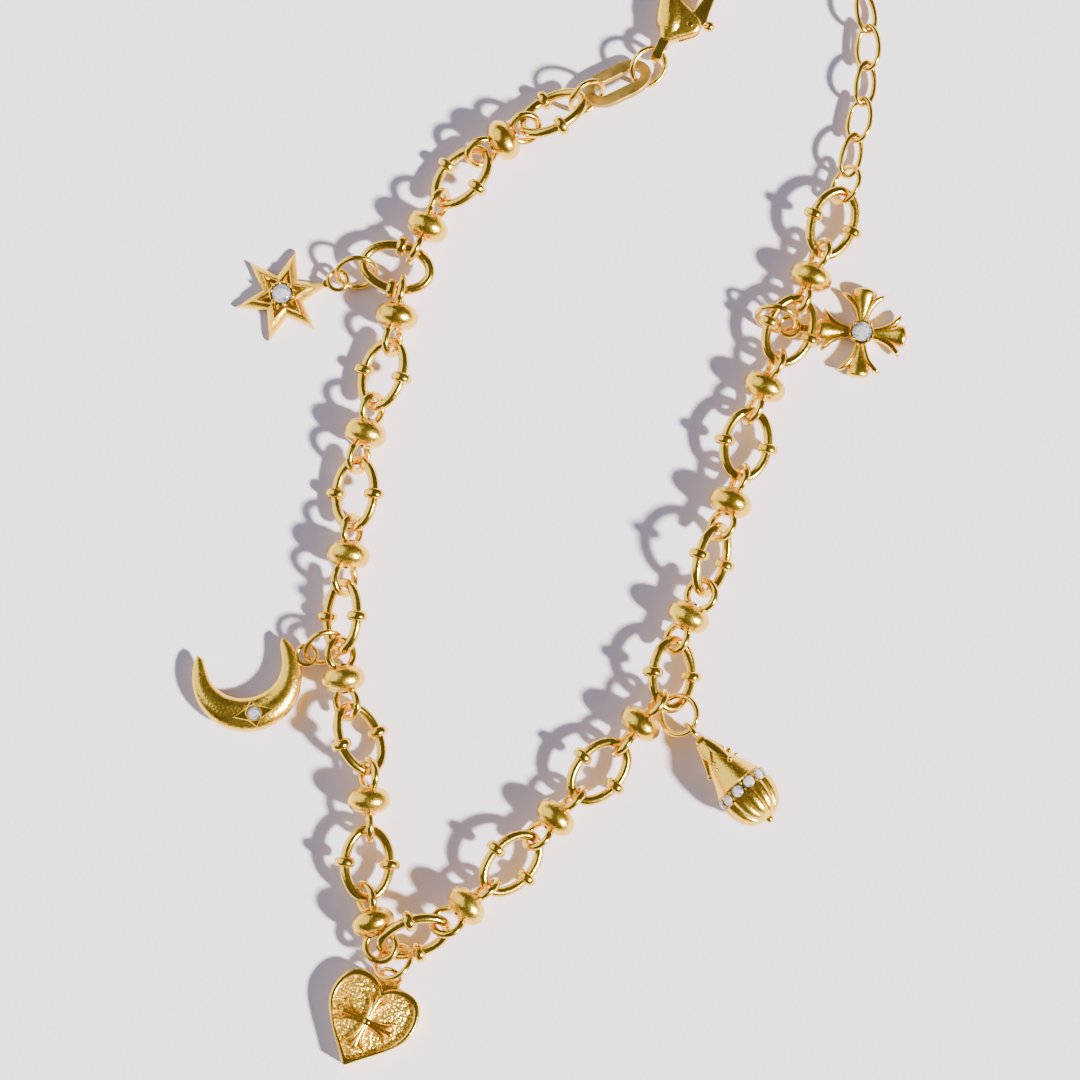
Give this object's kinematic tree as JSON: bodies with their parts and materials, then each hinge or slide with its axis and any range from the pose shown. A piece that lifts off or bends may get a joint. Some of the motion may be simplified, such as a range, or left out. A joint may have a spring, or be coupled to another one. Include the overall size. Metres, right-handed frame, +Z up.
{
  "type": "charm bracelet",
  "caption": "Charm bracelet lying closed, with beads and collared oval links, a lobster clasp in an extender chain, and star, moon, heart, bud and cross charms.",
  "frame": {"origin": "under the middle of the whole bracelet, on the surface it lies on", "axes": "+Z up from the surface, +Y along the bracelet from the heart charm towards the clasp, +X towards the extender side"},
  "size_m": [0.0638, 0.102, 0.0052],
  "materials": {
    "gold": "warm satin gold plate",
    "brushed_gold": "rough matte gold plate",
    "stone": "clear cut stone"
  },
  "bodies": {
    "bracelet": {"link_01": "gold", "link_02": "gold", "link_03": "gold", "link_04": "gold", "link_05": "gold", "link_06": "gold", "link_07": "gold", "link_08": "gold", "link_09": "gold", "link_10": "gold", "link_11": "gold", "link_12": "gold", "link_13": "gold", "link_14": "gold", "link_15": "gold", "link_16": "gold", "bead_01": "gold", "bead_02": "gold", "bead_03": "gold", "bead_04": "gold", "bead_05": "gold", "bead_06": "gold", "bead_07": "gold", "bead_08": "gold", "bead_09": "gold", "bead_10": "gold", "bead_11": "gold", "bead_12": "gold", "bead_13": "gold", "bead_14": "gold", "bead_15": "gold", "tag_ring": "gold", "clasp_ring": "gold", "clasp_body": "gold", "extender_ring": "gold", "extender_chain": "gold", "star_ring": "gold", "star_charm": "gold", "moon_ring": "gold", "moon_charm": "gold", "heart_ring": "gold", "heart_charm": "gold", "drop_ring": "gold", "drop_charm": "gold", "cross_ring": "gold", "cross_charm": "gold", "tag_link": "brushed_gold", "star_stone": "stone", "moon_stone": "stone", "cross_stone": "stone", "drop_stones": "stone"},
    "lever": {"clasp_lever": "gold"}
  },
  "joints": [
    {"name": "clasp_lever_hinge", "type": "hinge", "parent": "bracelet", "child": "lever", "pos_m": [0.01252, 0.04208, 0.0014], "axis": [0, 0, 1], "range_deg": [0, 20], "stiffness_Nm_per_rad": 0.0008, "springref_deg": -11.46}
  ]
}
